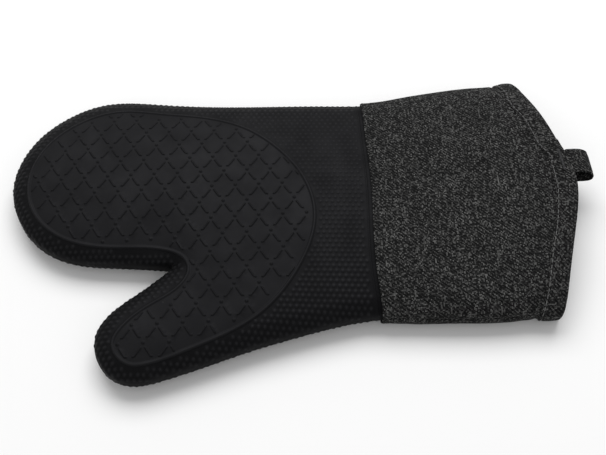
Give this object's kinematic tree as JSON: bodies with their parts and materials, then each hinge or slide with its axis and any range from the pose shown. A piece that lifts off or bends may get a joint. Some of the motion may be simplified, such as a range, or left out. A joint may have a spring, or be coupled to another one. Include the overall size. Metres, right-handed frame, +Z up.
{
  "type": "heat resistant glove",
  "caption": "Long heat resistant mitt with a diamond-grip silicone hand, quilted fabric liner, flared denim cuff and hanging loop.",
  "frame": {"origin": "centre of the overall box in plan, on the surface the glove lies on", "axes": "+X toward the cuff's mouth, -X toward the fingertips, -Y toward the thumb, +Z up from the face it lies on"},
  "size_m": [0.3726, 0.221, 0.0316],
  "materials": {
    "silicone_shell": "matte moulded silicone",
    "palm_wadding": "fibre wadding",
    "back_wadding": "fibre wadding",
    "palm_lining": "plain cotton",
    "back_lining": "plain cotton",
    "liner_seam_tape": "cotton tape",
    "cuff_palm_panel": "black heather denim",
    "cuff_back_panel": "black heather denim",
    "hem_binding": "black heather denim",
    "hanging_loop": "black heather denim",
    "loop_bartack": "sewing thread",
    "hem_top_thread": "sewing thread",
    "hem_lower_thread": "sewing thread",
    "cuff_front_seam_thread": "sewing thread",
    "index_side_seam_thread": "sewing thread",
    "thumb_side_seam_thread": "sewing thread",
    "palm_quilting_thread": "sewing thread",
    "back_quilting_thread": "sewing thread"
  },
  "bodies": {
    "glove": {"silicone_shell": "silicone_shell", "palm_wadding": "palm_wadding", "back_wadding": "back_wadding", "palm_lining": "palm_lining", "back_lining": "back_lining", "liner_seam_tape": "liner_seam_tape", "cuff_palm_panel": "cuff_palm_panel", "cuff_back_panel": "cuff_back_panel", "hem_binding": "hem_binding", "loop_bartack": "loop_bartack", "hem_top_thread": "hem_top_thread", "hem_lower_thread": "hem_lower_thread", "cuff_front_seam_thread": "cuff_front_seam_thread", "index_side_seam_thread": "index_side_seam_thread", "thumb_side_seam_thread": "thumb_side_seam_thread", "palm_quilting_thread": "palm_quilting_thread", "back_quilting_thread": "back_quilting_thread"},
    "loop": {"hanging_loop": "hanging_loop"}
  },
  "joints": [
    {"name": "loop_fold", "type": "hinge", "parent": "glove", "child": "loop", "pos_m": [0.17164, 0.03346, 0.02898], "axis": [0.0981, -0.9952, 0], "range_deg": [-20, 70], "stiffness_Nm_per_rad": 0.002}
  ]
}
